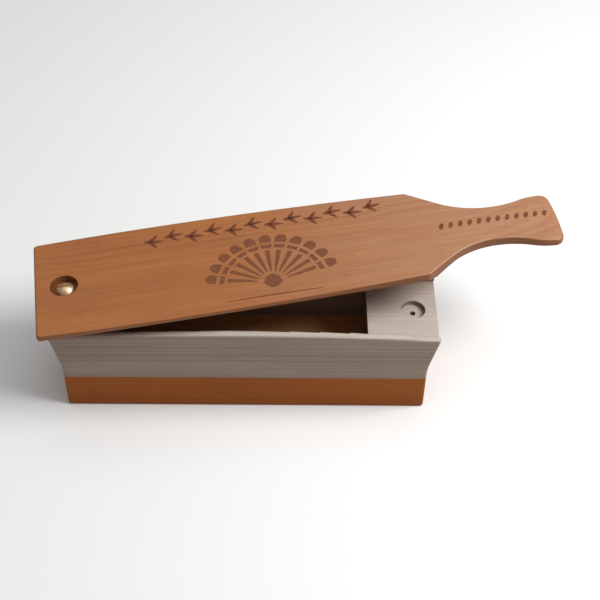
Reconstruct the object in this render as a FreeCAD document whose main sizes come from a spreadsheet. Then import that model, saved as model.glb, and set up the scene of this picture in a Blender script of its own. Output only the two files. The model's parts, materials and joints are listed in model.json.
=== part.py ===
"""Box turkey call: a glued sound box with crowned lips, and a paddle lid on one pivot screw.

Millimetres. +Z is up, +X runs along the box from the pivot end to the handle end, and +Y is
the back. The origin is the centre of the base board's underside. The lid is drawn swung a
little to the back, over the back lip, which is how the call is held between strokes.
"""
import FreeCAD, Part
import os
import re
import Sketcher

# Each driving size, once. Lengths in mm, angles in degrees.
SIZES = {
    # sound box
    "top_length": 200.0,        # along the lips
    "end_rake": 5.5,            # the base is this much shorter at each end than the lips
    "box_width": 50.0,
    "base_thickness": 22.4,
    "lip_height": 51.7,         # the lips' height at their two ends
    "crown_rise": 3.2,          # how much higher the lips are at mid-length
    "kink_rise": 11.1,          # from the base's top up to where the raked end meets the cove
    "kink_inset": 1.1,          # how far the kink stands out past the base's end
    "cove_hollow": 0.35,        # depth of the cove between the kink and the base
    "board_thickness": 4.2,
    "lip_round": 1.5,
    "corner_round": 1.4,        # the box's four vertical corners
    "base_round": 1.2,          # the lower edge all round the base
    # end blocks
    "block_length": 37.0,
    "block_drop": 3.1,          # the blocks' tops lie this far below the lips' ends
    "recess_radius": 6.4,
    "recess_depth": 2.8,
    "recess_from_end": 12.9,
    "pilot_radius": 1.5,
    "pilot_depth": 12.0,
    "pivot_from_end": 7.8,
    "spring_recess_depth": 4.0,
    # lid
    "lid_thickness": 13.05,     # along the lid's middle line, under its rounded belly
    "lid_edge_thickness": 2.45, # at the sides, where the panel is widest
    "lid_swing": 8.9,           # towards the back, from the box's middle line
    "lid_pitch": 4.0,           # up towards the handle
    "tail_overhang": 7.3,       # past the box's pivot end
    "tail_side_overhang": 8.2,  # past the box's side, at the tail
    "tail_corner_round": 2.4,
    "barrel_rise": 2.3,         # how far the long sides bow out
    "shoulder_setback": 8.2,    # the shoulders lie this far short of the box's handle end
    "shoulder_side_overhang": 6.2,
    "shoulder_round": 3.0,
    "shoulder_angle": 35.3,     # of the shoulders' slope, from the lid's middle line
    # handle: the flare and the tip are this far along from the neck
    "neck_half_width": 16.7,
    "neck_hollow": 4.4,
    "neck_round": 45.0,
    "flare_run": 41.5,
    "flare_half_width": 17.1,
    "flare_round": 30.0,
    "tip_run": 54.0,
    "tip_half_width": 18.3,
    "tip_bulge": 1.1,
    "tip_corner_round": 5.0,
    "droop_run": 4.0,           # past the shoulders, where the handle's top starts to curve down
    "tip_droop": 3.8,
    "droop_crown": 0.95,        # rise of that curve above its chord
    "scoop_lead": 18.0,         # the underside is scooped up from this far short of the shoulders
    "scoop_run": 16.0,          # to this far past them
    "scoop_hollow": 1.6,
    "neck_thickness": 5.6,
    "tip_thickness": 4.3,
    "lid_top_round": 1.2,       # the eased edge all round the lid's top
    "lid_under_round": 1.3,     # and all round its underside
    # pivot hardware
    "counterbore_depth": 4.6,
    "lid_web": 4.85,            # wood left between the counterbore and the pocket
    "screw_head_radius": 4.8,
    "screw_head_height": 3.2,
    "screw_rim": 0.7,           # the head's upright edge, below its dome
    "screw_radius": 2.1,
    "screw_root_radius": 1.5,
    "screw_plain_reach": 2.5,   # the smooth shank goes this far into the block's wood
    "thread_pitch": 1.7,
    "screw_point": 3.4,
    "slot_width": 1.2,
    "slot_depth": 1.6,
    "slot_angle": 12.0,
    "screw_washer_thickness": 0.8,
    "spring_washer_thickness": 0.6,
    "spring_wire": 0.4,         # the wire's radius
    "spring_turns": 5.0,
    # clearances
    "lid_gap": 0.3,             # between the lid's belly and the lips, wherever it swings
    "lid_hole_gap": 0.55,       # round the screw, so that the lid can rock on it
    "counterbore_room": 2.45,   # round the screw's head, for a finger and a screwdriver
    "washer_inset": 0.1,        # how far the screw washer stays inside the head's rim
    "screw_washer_gap": 0.2,    # round the screw, in its own washer
    "spring_washer_gap": 0.65,  # round the screw, in the spring's washers
    "spring_gap": 0.7,          # round the screw, inside the spring
    "recess_gap": 0.3,          # round the spring, in the block's recess
    "pocket_room": 1.4,         # round the spring, in the lid's pocket
    "lower_washer_gap": 0.2,    # round the lower washer, in the block's recess
    "upper_washer_gap": 0.4,    # round the upper washer, in the lid's pocket
    "washer_seat_gap": 0.08,    # between the tilted counterbore's floor and the screw washer
    "head_gap": 0.02,           # between the screw's head and its washer
    "thread_gap": 0.05,         # running fit of the screw in the pivot end block
    "screw_end_gap": 1.0,       # below the screw's point
    "screw_end_cover": 6.7,     # wood left between the screw's point and the base board
    "spring_end_gap": 0.05,     # between the spring and each of its washers
}

# Lengths that several pieces share, worked out from the driving sizes.
BASE_HALF = "(top_length / 2 - end_rake)"
KINK_HEIGHT = "(base_thickness + kink_rise)"
BLOCK_TOP = "(lip_height - block_drop)"
PIVOT_X = "(pivot_from_end - top_length / 2)"
WEB_MIDDLE = "(counterbore_depth + lid_web / 2)"
LID_TAIL = "(pivot_from_end + tail_overhang)"
TAIL_HALF = "(box_width / 2 + tail_side_overhang)"
SHOULDER = "(top_length - pivot_from_end - shoulder_setback)"
SHOULDER_HALF = "(box_width / 2 + shoulder_side_overhang)"
WIDEST_HALF = "((%s + %s) / 2 + barrel_rise)" % (TAIL_HALF, SHOULDER_HALF)
NECK = "(%s + (%s - neck_half_width) / tan(shoulder_angle * 1 deg))" % (SHOULDER, SHOULDER_HALF)
FLARE = "(%s + flare_run)" % NECK
TIP = "(%s + tip_run)" % NECK
DROOP_START = "(%s + droop_run)" % SHOULDER
BELLY_DEPTH = "(lid_thickness - lid_edge_thickness)"
BELLY_RADIUS = "((%s^2 + %s^2) / (2 * %s))" % (WIDEST_HALF, BELLY_DEPTH, BELLY_DEPTH)
# The lid's middle line climbs from the pivot and crosses the crowned lips at every angle. This
# is how high it must start to clear them: exact where it crosses at 45 degrees, a little more
# than enough elsewhere.
SLOPE = "tan(lid_pitch * 1 deg)"
CLEAR_START = ("(lip_height + crown_rise + (%s * top_length / 2)^2 / (8 * crown_rise)"
               " + %s * sqrt(0.5) * (%s - (box_width - board_thickness) / 2))"
               % (SLOPE, SLOPE, PIVOT_X))
LID_HEIGHT = "(%s + lid_gap + lid_thickness / cos(lid_pitch * 1 deg))" % CLEAR_START
SCREW_WASHER_RADIUS = "(screw_head_radius - washer_inset)"
WASHER_HEIGHT = ("(%s - counterbore_depth * cos(lid_pitch * 1 deg) + %s * %s + washer_seat_gap)"
                 % (LID_HEIGHT, SCREW_WASHER_RADIUS, SLOPE))
HEAD_HEIGHT = "(%s + screw_washer_thickness + head_gap)" % WASHER_HEIGHT
SPRING_RECESS_FLOOR = "(%s - spring_recess_depth)" % BLOCK_TOP
SCREW_LENGTH = "(%s - base_thickness - screw_end_cover)" % HEAD_HEIGHT
SCREW_PLAIN = "(%s - %s + screw_plain_reach)" % (HEAD_HEIGHT, SPRING_RECESS_FLOOR)
SPRING_FOOT = "(%s + spring_washer_thickness)" % SPRING_RECESS_FLOOR
SPRING_RADIUS = "(screw_radius + spring_gap + spring_wire)"      # to the middle of the wire
SPRING_OUTSIDE = "(%s + spring_wire)" % SPRING_RADIUS
RECESS_RADIUS = "(%s + recess_gap)" % SPRING_OUTSIDE
POCKET_RADIUS = "(%s + pocket_room)" % SPRING_OUTSIDE
SPRING_WASHER_HOLE = "(screw_radius + spring_washer_gap)"
UPPER_WASHER_RADIUS = "(%s - upper_washer_gap)" % POCKET_RADIUS
UPPER_WASHER_DEPTH = "(counterbore_depth + lid_web + spring_washer_thickness)"
SPRING_TOP = "(%s - %s - %s * %s - spring_end_gap)" % (
    LID_HEIGHT, UPPER_WASHER_DEPTH, UPPER_WASHER_RADIUS, SLOPE)

DOC = FreeCAD.newDocument("BoxTurkeyCall")
SHEET = DOC.addObject("Spreadsheet::Sheet", "Sizes")
NAMES = re.compile(r"\b(%s)\b" % "|".join(sorted(SIZES, key=len, reverse=True)))


# ---- the sheet, and how sizes reach the model ----

def fill_sheet():
    for row, (name, value) in enumerate(SIZES.items(), start=1):
        SHEET.set("A%d" % row, name)
        SHEET.set("B%d" % row, str(value))
        SHEET.setAlias("B%d" % row, name)
    DOC.recompute()


def from_sheet(formula):
    """The formula with each size's name pointing at its cell."""
    return NAMES.sub(r"Sizes.\1", str(formula))


def number(formula):
    return float(SHEET.evalExpression(str(formula)))


def bind(thing, **formulas):
    for name, formula in formulas.items():
        thing.setExpression(name, from_sheet(formula))


def place(body, x="0", y="0", z="0", yaw="0", pitch="0"):
    for axis, formula in (("x", x), ("y", y), ("z", z)):
        body.setExpression("Placement.Base." + axis, from_sheet(formula))
    body.setExpression("Placement.Rotation.Yaw", from_sheet(yaw))
    body.setExpression("Placement.Rotation.Pitch", from_sheet(pitch))
    DOC.recompute()


# ---- bodies and sketches ----

def new_body(label):
    body = DOC.addObject("PartDesign::Body", label)
    body.Label = label
    return body


def new_sketch(body, name, role, height="0"):
    """A sketch on one of the body's own origin planes, raised along the plane's normal."""
    sketch = body.newObject("Sketcher::SketchObject", body.Label + "_" + name)
    plane = next(part for part in body.Origin.OriginFeatures if part.Role == role)
    sketch.AttachmentSupport = [(plane, "")]
    sketch.MapMode = "FlatFace"
    sketch.setExpression("AttachmentOffset.Base.z", from_sheet(height))
    DOC.recompute()
    return sketch


def pin_down(sketch, edge, end, corner):
    """Hold one end of an edge at a corner given by two formulas."""
    for kind, formula in (("DistanceX", corner[0]), ("DistanceY", corner[1])):
        held = sketch.addConstraint(Sketcher.Constraint(kind, edge, end, number(formula)))
        sketch.setExpression("Constraints[%d]" % held, from_sheet(formula))


def outline(sketch, corners):
    """A closed outline. Each corner is its x and y formulas; a third formula makes the edge
    that leads on from it an arc, bulging that far to the right of its way round: outwards, where
    the outline runs anticlockwise."""
    points = [FreeCAD.Vector(number(corner[0]), number(corner[1]), 0) for corner in corners]
    ends = []
    for index, corner in enumerate(corners):
        following = (index + 1) % len(corners)
        start, stop = points[index], points[following]
        if len(corner) == 2:
            edge = sketch.addGeometry(Part.LineSegment(start, stop))
            ends.append((edge, 1, 2))
            continue
        chord = stop - start
        right = FreeCAD.Vector(chord.y, -chord.x, 0).normalize()
        top = (start + stop) * 0.5 + right * number(corner[2])
        edge = sketch.addGeometry(Part.Arc(start, top, stop))
        forward = sketch.getPoint(edge, 1).isEqual(start, 1e-6)
        ends.append((edge, 1, 2) if forward else (edge, 2, 1))
        across = "((%s) - (%s))" % (corners[following][0], corner[0])
        along = "((%s) - (%s))" % (corners[following][1], corner[1])
        half_chord_squared = "(%s * %s + %s * %s) / 4" % (across, across, along, along)
        radius = "abs((%s) / (2 * (%s)) + (%s) / 2)" % (half_chord_squared, corner[2], corner[2])
        round_edge = sketch.addConstraint(Sketcher.Constraint("Radius", edge, number(radius)))
        sketch.setExpression("Constraints[%d]" % round_edge, from_sheet(radius))
    for index, (edge, first, last) in enumerate(ends):
        next_edge, next_first, _ = ends[(index + 1) % len(ends)]
        sketch.addConstraint(Sketcher.Constraint("Coincident", edge, last, next_edge, next_first))
        pin_down(sketch, edge, first, corners[index])
    DOC.recompute()


def rectangle(sketch, x_half, y_half):
    outline(sketch, [("-(%s)" % x_half, "-(%s)" % y_half), (x_half, "-(%s)" % y_half),
                     (x_half, y_half), ("-(%s)" % x_half, y_half)])


def circle(sketch, radius, x="0", y="0"):
    centre = FreeCAD.Vector(number(x), number(y), 0)
    edge = sketch.addGeometry(Part.Circle(centre, FreeCAD.Vector(0, 0, 1), number(radius)))
    held = sketch.addConstraint(Sketcher.Constraint("Radius", edge, number(radius)))
    sketch.setExpression("Constraints[%d]" % held, from_sheet(radius))
    pin_down(sketch, edge, 3, (x, y))
    DOC.recompute()


# ---- features ----

def pad(body, sketch, length, symmetric=False, backwards=False):
    feature = body.newObject("PartDesign::Pad", sketch.Name + "_pad")
    feature.Profile = sketch
    feature.SideType = "Symmetric" if symmetric else "One side"
    feature.Reversed = backwards
    bind(feature, Length=length)
    DOC.recompute()
    return feature


def pocket(body, sketch, depth=None):
    """Cut the sketch away: to a depth below its plane, or right through both ways."""
    before = body.Shape.Volume
    feature = body.newObject("PartDesign::Pocket", sketch.Name + "_cut")
    feature.Profile = sketch
    if depth is None:
        feature.Type = "ThroughAll"
        feature.SideType = "Symmetric"
    else:
        bind(feature, Length=depth)
    DOC.recompute()
    if body.Shape.Volume >= before:
        raise RuntimeError(sketch.Name + " cut nothing")
    return feature


def edges_where(body, wanted):
    """Names of the unplaced body's edges whose points, a few along each, pass the test."""
    names = []
    for index, edge in enumerate(body.Tip.Shape.Edges, start=1):
        if wanted(edge.discretize(5)):
            names.append("Edge%d" % index)
    if not names:
        raise RuntimeError("no edges to round on " + body.Label)
    return names


def fillet(body, name, radius, edges):
    base = body.Tip
    feature = body.newObject("PartDesign::Fillet", body.Label + "_" + name)
    feature.Base = (base, edges)
    bind(feature, Radius=radius)
    DOC.recompute()
    return feature


def near(value, formula):
    return abs(value - number(formula)) < 1e-3


# ---- the sound box ----

def end_outline():
    """The raked end of the box, from the base's top up to the lips, on the +X side."""
    return [(BASE_HALF, "base_thickness", "-cove_hollow"),
            ("%s + kink_inset" % BASE_HALF, KINK_HEIGHT),
            ("top_length / 2", "lip_height")]


def on_left(corners):
    """The same corners mirrored to the -X side, in reverse order so the outline runs on."""
    mirrored = [["-(%s)" % x, y] for x, y, *_ in reversed(corners)]
    for index, corner in enumerate(corners[:-1]):
        if len(corner) == 3:
            mirrored[len(corners) - 2 - index].append(corner[2])
    return [tuple(corner) for corner in mirrored]


def base_board():
    body = new_body("base_board")
    plan = new_sketch(body, "plan", "XY_Plane")
    rectangle(plan, BASE_HALF, "box_width / 2")
    pad(body, plan, "base_thickness")
    upright = edges_where(body, lambda points: abs(points[0].z - points[-1].z) > 1)
    fillet(body, "corners", "corner_round", upright)
    fillet(body, "lower_edge", "base_round",
           edges_where(body, lambda points: max(p.z for p in points) < 1e-3))
    return body


def side_board(label, side):
    """A lip board. side is -1 for the front one and 1 for the back one."""
    body = new_body(label)
    face = new_sketch(body, "face", "XZ_Plane")
    right = end_outline()
    right[-1] = right[-1] + ("crown_rise",)
    outline(face, right + on_left(end_outline()))
    pad(body, face, "board_thickness", backwards=side > 0)

    def outer(point):
        return near(abs(point.y), "board_thickness")

    def on_end(points):
        return all(outer(p) for p in points) and abs(points[0].z - points[-1].z) > 1

    def on_lip(points):
        return min(p.z for p in points) >= number("lip_height") - 1e-3 and \
            abs(points[0].x - points[-1].x) > number("top_length") / 2

    fillet(body, "ends", "corner_round", edges_where(body, on_end))
    fillet(body, "lip", "lip_round", edges_where(body, on_lip))
    place(body, y="%d * (box_width / 2 - board_thickness)" % side)
    return body


def end_block(label, side):
    """A block between the boards. side is -1 at the pivot end and 1 at the handle end."""
    body = new_body(label)
    face = new_sketch(body, "face", "XZ_Plane")
    inner = "top_length / 2 - block_length"
    rake = "(end_rake - kink_inset) / (lip_height - %s)" % KINK_HEIGHT
    top_end = "top_length / 2 - block_drop * %s" % rake
    right = end_outline()[:2] + [(top_end, BLOCK_TOP)]
    if side > 0:
        corners = [(inner, "base_thickness")] + right + [(inner, BLOCK_TOP)]
    else:
        corners = on_left(right) + [("-(%s)" % inner, "base_thickness"), ("-(%s)" % inner, BLOCK_TOP)]
    outline(face, corners)
    pad(body, face, "box_width - 2 * board_thickness", symmetric=True)
    return body


def bored(body, name, radius, x, top, depth):
    """A round hole down into the body from a given height."""
    mouth = new_sketch(body, name, "XY_Plane", height=top)
    circle(mouth, radius, x=x)
    pocket(body, mouth, depth)


def pivot_end_block():
    body = end_block("pivot_end_block", -1)
    bored(body, "spring_recess", RECESS_RADIUS, PIVOT_X, BLOCK_TOP, "spring_recess_depth")
    bored(body, "screw_hole", "screw_radius + thread_gap", PIVOT_X, SPRING_RECESS_FLOOR,
          "%s - base_thickness - screw_end_cover + screw_end_gap" % SPRING_RECESS_FLOOR)
    return body


def handle_end_block():
    body = end_block("handle_end_block", 1)
    centre = "top_length / 2 - recess_from_end"
    bored(body, "recess", "recess_radius", centre, BLOCK_TOP, "recess_depth")
    bored(body, "pilot", "pilot_radius", centre, "%s - recess_depth" % BLOCK_TOP, "pilot_depth")
    return body


# ---- the lid ----

def lid_plan(body):
    """The paddle seen from above: barrelled panel, shoulders, hollow neck and fishtail."""
    plan = new_sketch(body, "plan", "XY_Plane")
    tail, tail_side = "-%s" % LID_TAIL, "-%s" % TAIL_HALF
    front = [(tail, tail_side, "barrel_rise"),
             (SHOULDER, "-%s" % SHOULDER_HALF),
             (NECK, "-neck_half_width", "-neck_hollow"),
             (FLARE, "-flare_half_width"),
             (TIP, "-tip_half_width", "tip_bulge")]
    back = [(TIP, "tip_half_width"),
            (FLARE, "flare_half_width", "-neck_hollow"),
            (NECK, "neck_half_width"),
            (SHOULDER, SHOULDER_HALF, "barrel_rise"),
            (tail, TAIL_HALF)]
    outline(plan, front + back)
    return plan


def cut_underside(body):
    """Round the underside from side to side, so that it meets each lip along a line."""
    reach = "(%s + barrel_rise)" % WIDEST_HALF
    drop = "(%s - sqrt(%s^2 - %s^2))" % (BELLY_RADIUS, BELLY_RADIUS, reach)
    side = "%s - lid_thickness" % drop
    below = "-2 * lid_thickness"
    section = new_sketch(body, "belly", "YZ_Plane")
    outline(section, [("-(%s)" % reach, side, drop), (reach, side),
                      (reach, below), ("-(%s)" % reach, below)])
    pocket(body, section)


def cut_handle(body):
    """Curve the handle's top down and scoop its underside up, seen from the side."""
    end = "%s + 2 * tip_bulge" % TIP
    above = new_sketch(body, "droop", "XZ_Plane")
    outline(above, [(DROOP_START, "0"), (DROOP_START, "lid_thickness"),
                    (end, "lid_thickness"), (end, "-tip_droop", "droop_crown")])
    pocket(body, above)
    below = new_sketch(body, "scoop", "XZ_Plane")
    deep = "-2 * lid_thickness"
    start = "%s - scoop_lead" % SHOULDER
    outline(below, [(start, "-lid_thickness", "-scoop_hollow"),
                    ("%s + scoop_run" % SHOULDER, "-neck_thickness"),
                    (end, "-(tip_droop + tip_thickness)"),
                    (end, deep), (start, deep)])
    pocket(body, below)


def is_upright(face, point):
    u, v = face.Surface.parameter(point)
    return abs(face.normalAt(u, v).z) < 1e-3


def rim(body, above, start):
    """Names of the edges between the sides and the top, or the underside, beyond a start."""
    shape = body.Tip.Shape
    names = []
    for index, edge in enumerate(shape.Edges, start=1):
        points = edge.discretize(5)
        walls = [face for face in shape.ancestorsOfType(edge, Part.Face)
                 if is_upright(face, points[2])]
        if len(walls) != 1 or min(p.x for p in points) < number(start):
            continue
        if (points[2].z > walls[0].CenterOfMass.z) == above:
            names.append("Edge%d" % index)
    return names


def upright_edges(body, reach):
    """The lid's edges that stand straight up at this distance from the pivot."""
    def wanted(points):
        rise = points[-1] - points[0]
        return abs(rise.z) > 1 and abs(rise.x) + abs(rise.y) < 1e-3 and near(points[0].x, reach)
    return edges_where(body, wanted)


def round_plan(body):
    """Round the corners of the lid's outline, while its edges still stand straight up."""
    fillet(body, "tail_corners", "tail_corner_round", upright_edges(body, "-%s" % LID_TAIL))
    fillet(body, "shoulders", "shoulder_round", upright_edges(body, SHOULDER))
    fillet(body, "neck", "neck_round", upright_edges(body, NECK))
    fillet(body, "flare", "flare_round", upright_edges(body, FLARE))
    fillet(body, "tip_corners", "tip_corner_round", upright_edges(body, TIP))


def ease_edges(body):
    """Ease the edges all round the top and the underside.

    Where the wood is thin, an eased edge takes no more than about half of it."""
    fillet(body, "top_edge", "min(lid_top_round, 0.49 * lid_edge_thickness)",
           rim(body, True, "-2 * %s" % LID_TAIL))
    fillet(body, "under_edge", "min(lid_under_round, 0.49 * tip_thickness)",
           rim(body, False, SHOULDER))


def lid():
    body = new_body("lid")
    uncut = "lid_thickness + lid_edge_thickness"
    pad(body, lid_plan(body), uncut, backwards=True)
    round_plan(body)
    cut_underside(body)
    cut_handle(body)
    ease_edges(body)
    bored(body, "counterbore", "screw_head_radius + counterbore_room", "0", "0", "counterbore_depth")
    bored(body, "screw_hole", "screw_radius + lid_hole_gap", "0", "-counterbore_depth", "lid_thickness")
    pocket_top = "-(counterbore_depth + lid_web)"
    bored(body, "washer_pocket", POCKET_RADIUS, "0", pocket_top, "lid_thickness")
    place_on_lid(body, "0")
    return body


def place_on_lid(body, depth):
    """Tilt and swing a body with the lid, with its origin this far under the lid's top.

    The lid's hole meets the upright screw at the middle of the wood between its two bores."""
    lean = "(%s - %s) * sin(lid_pitch * 1 deg)" % (WEB_MIDDLE, depth)
    place(body,
          x="%s - %s * cos(lid_swing * 1 deg)" % (PIVOT_X, lean),
          y="-%s * sin(lid_swing * 1 deg)" % lean,
          z="%s - %s * cos(lid_pitch * 1 deg)" % (LID_HEIGHT, depth),
          yaw="lid_swing * 1 deg", pitch="-lid_pitch * 1 deg")


# ---- the pivot hardware ----

def washer(label, radius, hole, thickness):
    body = new_body(label)
    plan = new_sketch(body, "plan", "XY_Plane")
    circle(plan, radius)
    circle(plan, hole)
    pad(body, plan, thickness)
    return body


def screw_washer():
    body = washer("screw_washer", SCREW_WASHER_RADIUS, "screw_radius + screw_washer_gap",
                  "screw_washer_thickness")
    place(body, x=PIVOT_X, z=WASHER_HEIGHT)
    return body


def lower_spring_washer():
    body = washer("lower_spring_washer", "%s - lower_washer_gap" % RECESS_RADIUS,
                  SPRING_WASHER_HOLE, "spring_washer_thickness")
    place(body, x=PIVOT_X, z="%s - spring_recess_depth" % BLOCK_TOP)
    return body


def upper_spring_washer():
    body = washer("upper_spring_washer", UPPER_WASHER_RADIUS, SPRING_WASHER_HOLE,
                  "spring_washer_thickness")
    place_on_lid(body, UPPER_WASHER_DEPTH)
    return body


def pivot_screw():
    """A slotted round-head screw. Rings stand for the turns of its thread."""
    body = new_body("pivot_screw")
    section = new_sketch(body, "section", "XZ_Plane")
    dome = "(screw_head_height - screw_rim)"
    span_squared = "(screw_head_radius * screw_head_radius + %s * %s)" % (dome, dome)
    ball = "(%s / (2 * %s))" % (span_squared, dome)
    dome_bulge = "(%s - sqrt(%s * %s - %s / 4))" % (ball, ball, ball, span_squared)
    point_top = "screw_point - %s" % SCREW_LENGTH
    corners = [("0", "screw_head_height"), ("0", "-%s" % SCREW_LENGTH),
               ("screw_root_radius", point_top)]
    threaded = number("%s - %s - screw_point" % (SCREW_LENGTH, SCREW_PLAIN))
    turns = int(threaded / number("thread_pitch"))
    for turn in range(turns):
        foot = "%s + %d * thread_pitch" % (point_top, turn)
        corners += [("screw_radius", "%s + thread_pitch / 2" % foot),
                    ("screw_root_radius", "%s + thread_pitch" % foot)]
    corners += [("screw_root_radius", "-%s" % SCREW_PLAIN),
                ("screw_radius", "thread_pitch / 2 - %s" % SCREW_PLAIN),
                ("screw_radius", "0"), ("screw_head_radius", "0"),
                ("screw_head_radius", "screw_rim", dome_bulge)]
    outline(section, corners)
    turned = body.newObject("PartDesign::Revolution", "pivot_screw_turned")
    turned.Profile = section
    turned.ReferenceAxis = (section, ["V_Axis"])
    turned.Angle = 360
    DOC.recompute()
    slot = new_sketch(body, "slot", "XY_Plane", height="screw_head_height")
    rectangle(slot, "screw_head_radius * 2", "slot_width / 2")
    pocket(body, slot, "slot_depth")
    place(body, x=PIVOT_X, z=HEAD_HEIGHT, yaw="slot_angle * 1 deg")
    return body


def lid_spring():
    body = new_body("lid_spring")
    wire = new_sketch(body, "wire", "XZ_Plane")
    circle(wire, "spring_wire", x=SPRING_RADIUS)
    coil = body.newObject("PartDesign::AdditiveHelix", "lid_spring_coil")
    coil.Profile = wire
    coil.ReferenceAxis = (wire, ["V_Axis"])
    coil.Mode = "height-turns-angle"
    foot = "%s + spring_end_gap + spring_wire" % SPRING_FOOT
    bind(coil, Height="%s - spring_wire - (%s)" % (SPRING_TOP, foot), Turns="spring_turns")
    place(body, x=PIVOT_X, z=foot)
    return body


# ---- checking and writing ----

def check(bodies):
    for thing in DOC.Objects:
        if "Invalid" in thing.State or "Error" in thing.State:
            raise RuntimeError("%s did not build: %s" % (thing.Name, thing.State))
    for body in bodies:
        if body.Shape.isNull() or not body.Shape.isValid() or not body.Shape.Solids:
            raise RuntimeError(body.Label + " has no sound solid")


def main():
    fill_sheet()
    bodies = [base_board(), side_board("front_side_board", -1), side_board("back_side_board", 1),
              pivot_end_block(), handle_end_block(), lid(), pivot_screw(), screw_washer(),
              lid_spring(), lower_spring_washer(), upper_spring_washer()]
    DOC.recompute()
    check(bodies)
    os.makedirs("parts", exist_ok=True)
    for body in bodies:
        body.Shape.exportStep("parts/%s.step" % body.Label)
        box = body.Shape.BoundBox
        print("%-20s %9.1f mm3  x %.1f..%.1f  y %.1f..%.1f  z %.1f..%.1f" % (
            body.Label, body.Shape.Volume, box.XMin, box.XMax, box.YMin, box.YMax, box.ZMin, box.ZMax))


main()
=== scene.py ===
"""Looks for the box turkey call: oiled cherry lid and base, pale poplar box, brass pivot screw.

Metres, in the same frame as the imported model. A name that ends in _mm or _MM holds a real size in
millimetres.
"""
import json
import math

import bmesh
import bpy
from mathutils import Matrix, Vector
from mathutils.bvhtree import BVHTree


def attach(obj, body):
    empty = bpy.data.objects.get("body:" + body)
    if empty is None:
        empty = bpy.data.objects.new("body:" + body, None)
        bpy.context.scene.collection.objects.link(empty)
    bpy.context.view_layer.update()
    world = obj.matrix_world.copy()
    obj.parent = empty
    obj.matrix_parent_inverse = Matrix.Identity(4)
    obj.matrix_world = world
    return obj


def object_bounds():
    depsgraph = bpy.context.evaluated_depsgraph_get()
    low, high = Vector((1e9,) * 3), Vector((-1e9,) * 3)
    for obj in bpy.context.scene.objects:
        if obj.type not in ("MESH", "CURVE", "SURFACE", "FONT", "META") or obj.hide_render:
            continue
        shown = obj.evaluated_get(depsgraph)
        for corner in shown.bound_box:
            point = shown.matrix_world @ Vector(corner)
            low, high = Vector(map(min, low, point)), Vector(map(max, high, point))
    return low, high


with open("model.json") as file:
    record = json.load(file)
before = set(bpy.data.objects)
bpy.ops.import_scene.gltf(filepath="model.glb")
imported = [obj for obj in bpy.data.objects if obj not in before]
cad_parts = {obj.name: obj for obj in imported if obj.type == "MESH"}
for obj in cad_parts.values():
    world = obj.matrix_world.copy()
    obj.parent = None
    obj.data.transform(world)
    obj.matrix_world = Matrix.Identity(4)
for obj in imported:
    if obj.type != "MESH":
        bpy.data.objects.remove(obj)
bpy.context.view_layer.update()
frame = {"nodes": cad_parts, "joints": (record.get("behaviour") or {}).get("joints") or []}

MM = 0.001
UP = Vector((0, 0, 1))
NODES = frame["nodes"]
JOINTS = {joint["name"]: joint for joint in frame["joints"]}


# ---- where the lid lies ----

def lid_axes():
    """The lid's own axes at rest: x along it, y across it, z out of its top.

    The origin is on the lid's top face, over the pivot screw. That face is the largest of those
    that look up, which are sloped by a few degrees at most."""
    nearly_level = 0.9
    top = max((face for face in NODES["lid"].data.polygons if face.normal.z > nearly_level),
              key=lambda face: face.area)
    normal = top.normal.normalized()
    across = -Vector(JOINTS["lid_lift"]["axis"]).normalized()
    along = across.cross(normal).normalized()
    across = normal.cross(along)
    pivot = Vector(JOINTS["lid_swing"]["pos_m"])
    rise = (top.center - pivot).dot(normal) / normal.z
    turn = Matrix((along, across, normal)).transposed().to_4x4()
    return Matrix.Translation(pivot + rise * UP) @ turn


LID = lid_axes()
BOX = Matrix.Identity(4)


# ---- helpers ----

def link(thing):
    """Puts an object into the scene."""
    bpy.context.scene.collection.objects.link(thing)


def linear(code):
    """A colour written as sRGB hex, turned to the linear values that shaders take."""
    parts = [int(code[i:i + 2], 16) / 255 for i in (1, 3, 5)]
    return [c / 12.92 if c <= 0.04045 else ((c + 0.055) / 1.055) ** 2.4 for c in parts] + [1.0]


def add(tree, kind, inputs=(), out=0, **settings):
    """Adds a shader node with its settings and links, and returns one of its outputs.

    The inputs are in a tuple, in the node's own order, or in a dict by name or number. Each is a
    plain value or the output of another node."""
    made = tree.nodes.new("ShaderNode" + kind)
    for name, value in settings.items():
        setattr(made, name, value)
    for key, value in inputs.items() if isinstance(inputs, dict) else enumerate(inputs):
        if isinstance(value, bpy.types.NodeSocket):
            tree.links.new(value, made.inputs[key])
        else:
            made.inputs[key].default_value = value
    return made.outputs[out]


# settings that several nodes share
SMOOTH = {"interpolation_type": "SMOOTHSTEP"}    # MapRange: eases from one end to the other
OVER = {"data_type": "RGBA", "out": 2}           # Mix: lays colour 7 over colour 6 by factor 0
TINT = {"blend_type": "MULTIPLY", **OVER}        # the same, by multiplying


def mottle(tree, place, patch_mm, detail):
    """A cloudy pattern, 0 to 1, whose patches are about as long as patch_mm says each way."""
    fitted = add(tree, "VectorMath", (place, [1 / size for size in patch_mm]), operation="MULTIPLY")
    return add(tree, "TexNoise", {"Vector": fitted, "Scale": 1.0, "Detail": detail})


def new_material(name):
    """A material with an empty node tree, and the tree."""
    material = bpy.data.materials.new(name)
    material.use_nodes = True
    material.node_tree.nodes.clear()
    return material, material.node_tree


def surface(tree, **inputs):
    """The shader itself, with its inputs by name, and the material's output."""
    names = {key.replace("_", " "): value for key, value in inputs.items()}
    shader = add(tree, "BsdfPrincipled", names)
    output = tree.nodes.new("ShaderNodeOutputMaterial")
    tree.links.new(shader, output.inputs["Surface"])


def place_mm(tree, axes):
    """The place on the piece in millimetres, along the given axes. It rides with the piece."""
    on_piece = add(tree, "TexCoord", out=3)
    return add(tree, "Mapping", {"Vector": on_piece, "Location": axes.translation,
                                 "Rotation": axes.to_euler(), "Scale": (MM, MM, MM)},
               vector_type="TEXTURE")


# ---- wood ----

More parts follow.
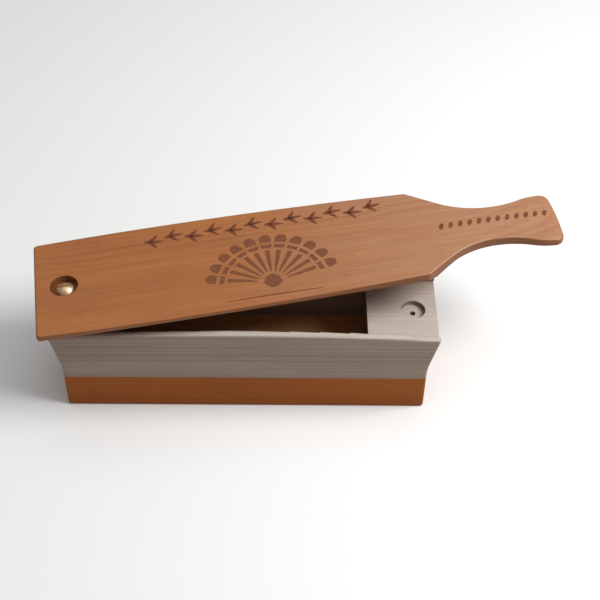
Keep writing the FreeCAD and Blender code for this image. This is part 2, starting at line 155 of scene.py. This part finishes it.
# the sizes of wood's patterns: along the grain, and across it both ways
BEND_MM = (130, 26, 26)          # slow bends of the growth rings
RIPPLE_MM = (42, 6, 6)           # small waves on them
FIBRE_MM = (60, 0.8, 0.8)        # streaks, in life under 0.1 mm wide, coarser here so that they show
PORE_MM = (5, 0.45, 0.45)        # dark dashes, in life 0.1 mm wide, coarser here so that they show
CLOUD_MM = (80, 20, 20)          # patches that took more oil or less
BURN_MM = (3.0, 1.6, 1.6)        # patches that the die burned deeper
BOARD_STEP_MM = (400, 31, 17)    # how far the pattern moves from one board to the next, for seed 1
FADE_WANDER_MM = 60.0            # how far the edge of a fade wanders along the grain
FIBRE_RELIEF_MM = 0.15           # from the deepest pore to the highest fibre


def growth(tree, place, shifted, pith_mm, ring_mm, wander_mm):
    """How far each point is into late growth, 0 to 1: rings round a pith that lies along the grain."""
    bend = mottle(tree, shifted, BEND_MM, 1.0)
    ripple = mottle(tree, shifted, RIPPLE_MM, 1.5)
    parts = add(tree, "SeparateXYZ", (place,)).node.outputs
    across = add(tree, "Math", (parts[1], pith_mm[0]), operation="SUBTRACT")
    up = add(tree, "Math", (parts[2], pith_mm[1]), operation="SUBTRACT")
    up_squared = add(tree, "Math", (up, up), operation="MULTIPLY")
    squares = add(tree, "Math", (across, across, up_squared), operation="MULTIPLY_ADD")
    radius = add(tree, "Math", (squares,), operation="SQRT")
    bent = add(tree, "Math", (bend, 2 * wander_mm, radius), operation="MULTIPLY_ADD")
    rippled = add(tree, "Math", (ripple, 0.4 * wander_mm, bent), operation="MULTIPLY_ADD")

    # the seasons differ, so the rings do too: their spacing changes slowly over about three rings
    slow_count = add(tree, "Math", (rippled, 3.1 * ring_mm), operation="DIVIDE")
    season = add(tree, "TexNoise", {"W": slow_count, "Scale": 1.0, "Detail": 1.0},
                 noise_dimensions="1D")
    even_count = add(tree, "Math", (rippled, ring_mm), operation="DIVIDE")
    count = add(tree, "Math", (season, 2.2, even_count), operation="MULTIPLY_ADD")

    # each ring darkens over most of its width and ends sharply
    phase = add(tree, "Math", (count,), operation="FRACT")
    darkens = add(tree, "MapRange", (phase, 0.2, 0.85), **SMOOTH)
    ends = add(tree, "MapRange", (phase, 1.0, 0.88), **SMOOTH)
    late = add(tree, "Math", (darkens, ends), operation="MULTIPLY")

    # and some rings are stronger than others
    ring_number = add(tree, "Math", (count,), operation="FLOOR")
    draw = add(tree, "TexNoise", {"W": ring_number, "Scale": 0.37, "Detail": 0.0},
               noise_dimensions="1D")
    strength = add(tree, "MapRange", (draw, 0.3, 0.7, 0.2, 1.0), **SMOOTH)
    return add(tree, "Math", (late, strength), operation="MULTIPLY")


def towards(tree, facing, axes, way):
    """How squarely the surface faces a way along the given axes: 1 straight at it, 0 sideways on."""
    return add(tree, "VectorMath", (facing, axes.to_3x3() @ way), out=1, operation="DOT_PRODUCT")


def wood(name, axes, pale, deep, pith_mm, ring_mm, wander_mm=3.0, ring_depth=0.6, fleck_depth=0.3,
         cloud_depth=0.5, end_shade=0.7, rough=0.5, fade=None, seed=0.0, char=None, painted_top_light=None,
         side_shade=1.0, gloss=0.3):
    """Solid wood whose grain runs along the x of the given axes.

    pale and deep are the tones of early and late growth, and pith_mm is where the pith lies, across
    and up. The pattern fills the solid, so that faces, edges and end grain agree. fade is
    (from_mm, to_mm, tone): a tone that comes in along the grain on faces that look up, partly
    painted light. painted_top_light is a paler tone painted on faces that look up, as painted light,
    and side_shade darkens the others as painted shade. char is the tone of burned wood, which replaces
    nearly all the rest."""
    material, tree = new_material(name)
    place = place_mm(tree, axes)
    shift_mm = [seed * step for step in BOARD_STEP_MM]
    shifted = add(tree, "VectorMath", (place, shift_mm), operation="ADD")
    late = growth(tree, place, shifted, pith_mm, ring_mm, wander_mm)
    fibre = mottle(tree, shifted, FIBRE_MM, 3)
    fleck = add(tree, "MapRange", (mottle(tree, shifted, PORE_MM, 1), 0.62, 0.74), **SMOOTH)
    cloud = mottle(tree, shifted, CLOUD_MM, 2)
    facing = add(tree, "TexCoord", out=1)
    looks_up = towards(tree, facing, axes, UP)

    # the rings, and patches that took more oil
    ringed = add(tree, "Math", (late, ring_depth), operation="MULTIPLY")
    tone = add(tree, "Mix", {0: ringed, 6: linear(pale), 7: linear(deep)}, **OVER)
    clouded = add(tree, "MapRange", (cloud, 0.35, 0.7, 0.0, cloud_depth), **SMOOTH)
    tone = add(tree, "Mix", {0: clouded, 6: tone, 7: linear(deep)}, **OVER)

    # the fade along the grain, painted light on the faces that look up, and painted shade on the sides
    # below them
    # on faces that look up, a paler tone comes in along the grain: handling wear, and partly painted
    # light
    if fade:
        start_mm, end_mm, faded = fade
        along = add(tree, "SeparateXYZ", (place,))
        wandering = add(tree, "Math", (cloud, FADE_WANDER_MM, along), operation="MULTIPLY_ADD")
        limits = (start_mm + FADE_WANDER_MM / 2, end_mm + FADE_WANDER_MM / 2)
        amount = add(tree, "MapRange", (wandering, *limits), **SMOOTH)
        on_top = add(tree, "MapRange", (looks_up, 0.3, 0.9, 0.0, 0.85), **SMOOTH)
        amount = add(tree, "Math", (amount, on_top), operation="MULTIPLY")
        faded_rings = add(tree, "Mix", {0: ringed, 6: linear(faded), 7: tone}, **OVER)
        tone = add(tree, "Mix", {0: amount, 6: tone, 7: faded_rings}, **OVER)
    # painted light: faces that look up are given a paler tone
    if painted_top_light:
        top_light_share = add(tree, "MapRange", (looks_up, 0.25, 0.8, 0.0, 0.85), **SMOOTH)
        tone = add(tree, "Mix", {0: top_light_share, 6: tone, 7: linear(painted_top_light)}, **OVER)
    # painted shade: faces that don't look up are darkened by side_shade
    shade = [side_shade, side_shade * 0.97, side_shade * 0.94, 1.0]
    sideways = add(tree, "MapRange", (looks_up, 0.9, 0.5), **SMOOTH)
    tone = add(tree, "Mix", {0: sideways, 6: tone, 7: shade}, **TINT)

    # fibres and pores
    streak = add(tree, "MapRange", (fibre, 0.3, 0.7, 0.9, 1.07), **SMOOTH)
    grey_streak = add(tree, "CombineColor", (streak, streak, streak))
    tone = add(tree, "Mix", {0: 1.0, 6: tone, 7: grey_streak}, **TINT)
    pored = add(tree, "Math", (fleck, fleck_depth), operation="MULTIPLY")
    tone = add(tree, "Mix", {0: pored, 6: tone, 7: linear(deep)}, **TINT)

    # end grain drinks more oil and looks darker
    along_grain = towards(tree, facing, axes, Vector((1, 0, 0)))
    squarely = add(tree, "Math", (along_grain,), operation="ABSOLUTE")
    end_grain = add(tree, "MapRange", (squarely, 0.45, 0.95), **SMOOTH)
    dark = [end_shade, end_shade * 0.95, end_shade * 0.9, 1.0]
    tone = add(tree, "Mix", {0: end_grain, 6: tone, 7: dark}, **TINT)
    if char:
        burn = mottle(tree, shifted, BURN_MM, 2)
        charred = add(tree, "MapRange", (burn, 0.25, 0.62, 0.7, 0.97), **SMOOTH)
        tone = add(tree, "Mix", {0: charred, 6: tone, 7: linear(char)}, **OVER)

    pits = add(tree, "Math", (fleck, -0.6), operation="MULTIPLY")
    height = add(tree, "Math", (fibre, 0.6, pits), operation="MULTIPLY_ADD")
    relief = add(tree, "Bump", {"Height": height, "Strength": 0.35, "Distance": FIBRE_RELIEF_MM * MM})
    open_grain = add(tree, "Math", (fleck, 0.4, fibre), operation="MULTIPLY_ADD")
    shine = add(tree, "MapRange", (open_grain, 0.3, 0.9, rough - 0.06, rough + 0.14), **SMOOTH)
    surface(tree, Base_Color=tone, Roughness=shine, Normal=relief, IOR=1.5, Specular_IOR_Level=gloss)
    return material


def oiled_cherry():
    """Planed and sanded cherry, wiped with oil: orange-brown and satin. Its top grows paler towards
    the handle from handling wear and partly painted light, and its sides are darkened with painted
    shade.
    """
    return wood("oiled_cherry", LID, "#A96A3C", "#87522C", (-14, -58), ring_mm=2.3, wander_mm=4,
                ring_depth=0.45, cloud_depth=0.35, rough=0.42, fade=(60, 215, "#AA7E61"),
                end_shade=0.8, side_shade=0.58)


def scorched_cherry(name, char):
    """The lid's cherry where marks were burned in with a hot die: red-brown char over the grain."""
    return wood(name, LID, "#A96A3C", "#87522C", (-14, -58), ring_mm=2.3, wander_mm=4,
                ring_depth=0.45, rough=0.6, char=char)


def oiled_cherry_base():
    """The same wood from a redder board, in the base: oiled outside, with painted light, a paler tone,
    on the faces that look up, which are the floor in the box.
    """
    return wood("oiled_cherry_base", BOX, "#9A5419", "#7C4114", (12, 70), ring_mm=2.6,
                ring_depth=0.4, cloud_depth=0.3, rough=0.6, end_shade=0.85, seed=0.37,
                painted_top_light="#CC9866", gloss=0.15)


def sanded_poplar():
    """Sanded poplar, left bare: fawn with straight brown streaks, and painted light, a paler tone,
    on the faces that look up: the lips and the tops of the blocks."""
    return wood("sanded_poplar", BOX, "#95857A", "#7C6A58", (-46, 130), ring_mm=3.1, wander_mm=1.4,
                rough=0.62, ring_depth=0.6, cloud_depth=0.25, end_shade=0.85, fleck_depth=0.12,
                seed=0.71, painted_top_light="#BFB3A9")


# ---- metal ----

LATHE_RING_MM = 0.25         # from one turned ring to the next
LATHE_RELIEF_MM = 0.03       # how deep those rings are
TARNISH_MM = (2.4, 2.4, 2.4)
DRAWING_LINE_MM = (1.5, 1.5, 0.12)    # the die's marks on the wire: long level streaks


def dulled_brass():
    """Turned brass that has lost its polish: warm tan, soft highlights, rings left by the lathe."""
    material, tree = new_material("dulled_turned_brass")
    axis = Matrix.Translation(Vector(JOINTS["screw_turn"]["pos_m"]))
    place = place_mm(tree, axis)
    flat = add(tree, "VectorMath", (place, (1, 1, 0)), operation="MULTIPLY")
    radius = add(tree, "VectorMath", (flat,), out=1, operation="LENGTH")
    ring_count = add(tree, "Math", (radius, 1 / LATHE_RING_MM), operation="MULTIPLY")
    rings = add(tree, "TexNoise", {"W": ring_count, "Scale": 1.0, "Detail": 2.0},
                noise_dimensions="1D")
    film = mottle(tree, place, TARNISH_MM, 3)
    tarnish = add(tree, "MapRange", (film, 0.35, 0.7), **SMOOTH)
    tone = add(tree, "Mix", {0: tarnish, 6: linear("#E6CCA6"), 7: linear("#C49A70")}, **OVER)
    relief = add(tree, "Bump", {"Height": rings, "Strength": 0.3, "Distance": LATHE_RELIEF_MM * MM})
    shine = add(tree, "MapRange", (film, 0.3, 0.7, 0.44, 0.58), **SMOOTH)
    surface(tree, Base_Color=tone, Metallic=1.0, Roughness=shine, Normal=relief)
    return material


def spring_steel():
    """Drawn steel wire, grey and smooth, with faint drawing lines."""
    material, tree = new_material("drawn_spring_steel")
    lines = mottle(tree, place_mm(tree, BOX), DRAWING_LINE_MM, 2)
    drawn = add(tree, "MapRange", (lines, 0.3, 0.7), **SMOOTH)
    tone = add(tree, "Mix", {0: drawn, 6: linear("#A8A8AA"), 7: linear("#77787C")}, **OVER)
    shine = add(tree, "MapRange", (lines, 0.3, 0.7, 0.24, 0.4), **SMOOTH)
    surface(tree, Base_Color=tone, Metallic=1.0, Roughness=shine)
    return material


def assign(materials):
    """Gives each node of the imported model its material."""
    for node, material in materials.items():
        slots = NODES[node].material_slots
        if not slots:
            NODES[node].data.materials.append(material)
        for slot in slots:
            slot.material = material


# ---- the burned marks on the lid ----

LID_SKIN = BVHTree.FromPolygons([v.co for v in NODES["lid"].data.vertices],
                                [f.vertices for f in NODES["lid"].data.polygons])
MARK_PROUD_MM = 0.03     # a mark's skin over the wood
MARK_SINK_MM = 0.15      # and how far its underside lies in it
OVER_LID_MM = 20.0       # a height that is clear of the lid


def on_lid(along_mm, across_mm, proud_mm):
    """A point of the lid's top, which slopes down along the handle, raised by proud_mm."""
    start = LID @ Vector((along_mm * MM, across_mm * MM, OVER_LID_MM * MM))
    down = -(LID.to_3x3() @ UP)
    hit = LID_SKIN.ray_cast(start, down)[0]
    return hit - down * proud_mm * MM


def mark_blade(mesh, outline_mm):
    """Adds one flat closed shape to the mesh: a skin just over the lid, with sides that go into it."""
    top = [mesh.verts.new(on_lid(x, y, MARK_PROUD_MM)) for x, y in outline_mm]
    low = [mesh.verts.new(on_lid(x, y, -MARK_SINK_MM)) for x, y in outline_mm]
    mesh.faces.new(top)
    mesh.faces.new(list(reversed(low)))
    for i, (a, b) in enumerate(zip(low, top)):
        j = (i + 1) % len(top)
        mesh.faces.new((a, low[j], top[j], b))


def stroke(points_mm, widths_mm):
    """The outline of a pen stroke through the points, with its width at each."""
    left, right = [], []
    for i, (x, y) in enumerate(points_mm):
        ax, ay = points_mm[max(i - 1, 0)]
        bx, by = points_mm[min(i + 1, len(points_mm) - 1)]
        size = math.hypot(bx - ax, by - ay)
        nx, ny = (ay - by) / size, (bx - ax) / size
        half = widths_mm[i] / 2
        left.append((x + nx * half, y + ny * half))
        right.append((x - nx * half, y - ny * half))
    return right + list(reversed(left))


def burned(name, blades, material):
    """A piece made of flat closed shapes, each given by its outline on the lid."""
    mesh = bmesh.new()
    for outline_mm in blades:
        mark_blade(mesh, outline_mm)
    bmesh.ops.recalc_face_normals(mesh, faces=mesh.faces)
    data = bpy.data.meshes.new(name)
    mesh.to_mesh(data)
    mesh.free()
    data.materials.append(material)
    piece = bpy.data.objects.new(name, data)
    link(piece)
    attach(piece, "paddle")
    return piece


def ray(start_mm, heading_deg, *stops):
    """A stroke that runs straight out: each stop is its distance and the width there."""
    way = math.radians(heading_deg)
    points = [(start_mm[0] + reach * math.cos(way), start_mm[1] + reach * math.sin(way))
              for reach, _ in stops]
    return stroke(points, [width for _, width in stops])


def track(at_mm, toe_mm, heading_deg):
    """A bird's footprint: three toes forward and a short one back."""
    return [ray(at_mm, heading_deg + turn, (0, 0.3 * toe_mm), (0.5 * toe_mm * reach, 0.3 * toe_mm),
                (toe_mm * reach, 0.1 * toe_mm))
            for turn, reach in ((0, 1.0), (52, 0.85), (-52, 0.85), (180, 0.42))]


def feather(root_mm, heading_deg):
    """A tail feather: a shaft, a band across it and a round tip."""
    return [ray(root_mm, heading_deg, (8, 0.8), (16, 2.0), (23.5, 2.6)),
            ray(root_mm, heading_deg, (25, 5.2), (27.5, 5.8)),
            ray(root_mm, heading_deg, (29.3, 6.0), (32, 6.2), (34, 4.6), (35, 1.8))]


TRACKS = 12
TRACK_ALONG_MM = 45.5        # the first footprint
TRACK_STEP_MM = 10.6
TRACK_ACROSS_MM = 23.7       # the middle of the row
TRACK_ASIDE_MM = 1.1         # how far each foot stands to its side
TRACK_TOE_MM = 7.0
TRACK_TURN_DEG = 6           # the feet turn outwards


def track_row():
    """Footprints along the lid, left and right in turn."""
    blades = []
    for i in range(TRACKS):
        side = 1 if i % 2 else -1
        foot = (TRACK_ALONG_MM + i * TRACK_STEP_MM, TRACK_ACROSS_MM + TRACK_ASIDE_MM * side)
        blades += track(foot, TRACK_TOE_MM, TRACK_TURN_DEG * side)
    return blades


FAN_ROOT_MM = (105.0, -20.0)    # where all the feathers' lines meet
FAN_HALF_DEG = 75            # from the middle feather to the last one
FAN_STEP_DEG = 15
ACROSS_DEG = 90              # straight across the lid, to the back
GROUND_MM = ((80, -28.9), (105, -28.6), (129, -28.9))
GROUND_WIDTHS_MM = (0.5, 1.1, 0.5)


def tail_fan():
    """A fanned tail, the body under it and a line for the ground."""
    along, across = FAN_ROOT_MM
    turns = range(-FAN_HALF_DEG, FAN_HALF_DEG + 1, FAN_STEP_DEG)
    blades = [blade for turn in turns for blade in feather(FAN_ROOT_MM, ACROSS_DEG + turn)]
    body = ray((along, across - 3.5), ACROSS_DEG, (0, 3.0), (3.5, 10.0), (7.5, 7.0), (9.5, 1.6))
    return blades + [body, stroke(GROUND_MM, GROUND_WIDTHS_MM)]


DASHES = 12
DASH_START_MM = (196, 1.6)   # the middle of the first dash, along and across
DASH_STEP_MM = (5.1, 0.16)
DASH_HALF_MM = 2.0           # across the handle
DASH_LEAN_MM = 0.9           # how far each half leans towards the tip
DASH_WIDTHS_MM = (1.5, 2.5, 1.5)


def handle_row():
    """Short leaning dashes along the handle."""
    blades = []
    for i in range(DASHES):
        along, across = DASH_START_MM[0] + i * DASH_STEP_MM[0], DASH_START_MM[1] + i * DASH_STEP_MM[1]
        points = [(along, across - DASH_HALF_MM), (along + DASH_LEAN_MM, across),
                  (along + 2 * DASH_LEAN_MM, across + DASH_HALF_MM)]
        blades.append(stroke(points, DASH_WIDTHS_MM))
    return blades


def lid_marks():
    """Marks of no maker: a row of bird tracks, a fanned tail over a line, and a row of dashes."""
    deep = scorched_cherry("cherry_scorched_deep", "#6A3722")
    soft = scorched_cherry("cherry_scorched_soft", "#71422A")
    burned("marks_track_row", track_row(), deep)
    burned("marks_tail_fan", tail_fan(), soft)
    burned("marks_handle_row", handle_row(), deep)


# ---- studio ----

FLOOR_HALF = 3.0             # in metres: the floor runs this far each way
PAPER_GRAINS = 900.0         # to the metre
FILL = 0.28                  # the strength of the light that comes from all around


def studio():
    """A pale floor, a soft light high on the right, and a weak even fill from above."""
    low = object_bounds()[0].z
    mesh = bpy.data.meshes.new("studio_floor")
    corners = [(x * FLOOR_HALF, y * FLOOR_HALF, low) for x, y in ((-1, -1), (1, -1), (1, 1), (-1, 1))]
    mesh.from_pydata(corners, [], [(0, 1, 2, 3)])
    floor = bpy.data.objects.new("studio_floor", mesh)
    link(floor)
    material, tree = new_material("matt_white_paper")
    on_floor = add(tree, "TexCoord", out=3)
    speck = add(tree, "TexNoise", {"Vector": on_floor, "Scale": PAPER_GRAINS, "Detail": 2})
    tone = add(tree, "Mix", {0: speck, 6: linear("#F4F4F3"), 7: linear("#EDEDEC")}, **OVER)
    surface(tree, Base_Color=tone, Roughness=0.9)
    mesh.materials.append(material)
    lamp("key_light", place=(0.66, -0.07, 0.74), target=(0.02, 0.0, 0.04), size=0.5, watts=8.6)
    lamp("top_light", place=(0.0, 0.15, 1.4), target=(0.02, 0.0, 0.03), size=1.6, watts=6.0)
    world = bpy.data.worlds.new("studio_air")
    world.use_nodes = True
    back = world.node_tree.nodes["Background"]
    back.inputs["Color"].default_value = linear("#F2F2F2")
    back.inputs["Strength"].default_value = FILL
    bpy.context.scene.world = world
    bpy.context.scene.view_settings.view_transform = "Standard"


def lamp(name, place, target, size, watts):
    """A round soft lamp that shines from the place to the target."""
    light = bpy.data.lights.new(name, "AREA")
    light.shape = "DISK"
    light.size = size
    light.energy = watts
    lamp_object = bpy.data.objects.new(name, light)
    lamp_object.location = place
    aim = Vector(target) - Vector(place)
    lamp_object.rotation_euler = aim.to_track_quat("-Z", "Y").to_euler()
    link(lamp_object)


CAMERA_RISE_DEG = 45.92      # how far it looks down
CAMERA_TURN_DEG = 1.21       # off the square view of the call's long side
CAMERA_TILT_DEG = 1.3        # round its own line of sight
CAMERA_TARGET_MM = (28.35, 14.75, 40.0)
CAMERA_DISTANCE_MM = 689.5
SENSOR_MM = 36
LENS_MM = 77.55


def camera():
    """Looks at the call's long front side from above, turned and tilted by about a degree."""
    rise, turn, tilt = (math.radians(angle) for angle in
                        (CAMERA_RISE_DEG, CAMERA_TURN_DEG, CAMERA_TILT_DEG))
    way = Vector((math.sin(turn) * math.cos(rise), math.cos(turn) * math.cos(rise), -math.sin(rise)))
    level = Vector((math.cos(turn), -math.sin(turn), 0))
    over = level.cross(way)
    right = math.cos(tilt) * level + math.sin(tilt) * over
    up = math.cos(tilt) * over - math.sin(tilt) * level
    place = Vector(CAMERA_TARGET_MM) * MM - way * (CAMERA_DISTANCE_MM * MM)
    data = bpy.data.cameras.new("camera")
    data.sensor_width = SENSOR_MM
    data.lens = LENS_MM
    seen = bpy.data.objects.new("camera", data)
    seen.matrix_world = Matrix.Translation(place) @ Matrix((right, up, -way)).transposed().to_4x4()
    link(seen)
    bpy.context.scene.camera = seen


def main():
    """Gives every node its material, then adds the marks, the studio and the camera."""
    cherry, base, poplar = oiled_cherry(), oiled_cherry_base(), sanded_poplar()
    brass, steel = dulled_brass(), spring_steel()
    assign({"lid": cherry, "base_board": base,
            "front_side_board": poplar, "back_side_board": poplar,
            "pivot_end_block": poplar, "handle_end_block": poplar,
            "pivot_screw": brass, "screw_washer": brass,
            "lid_spring": steel, "lower_spring_washer": steel, "upper_spring_washer": steel})
    lid_marks()
    studio()
    camera()


main()
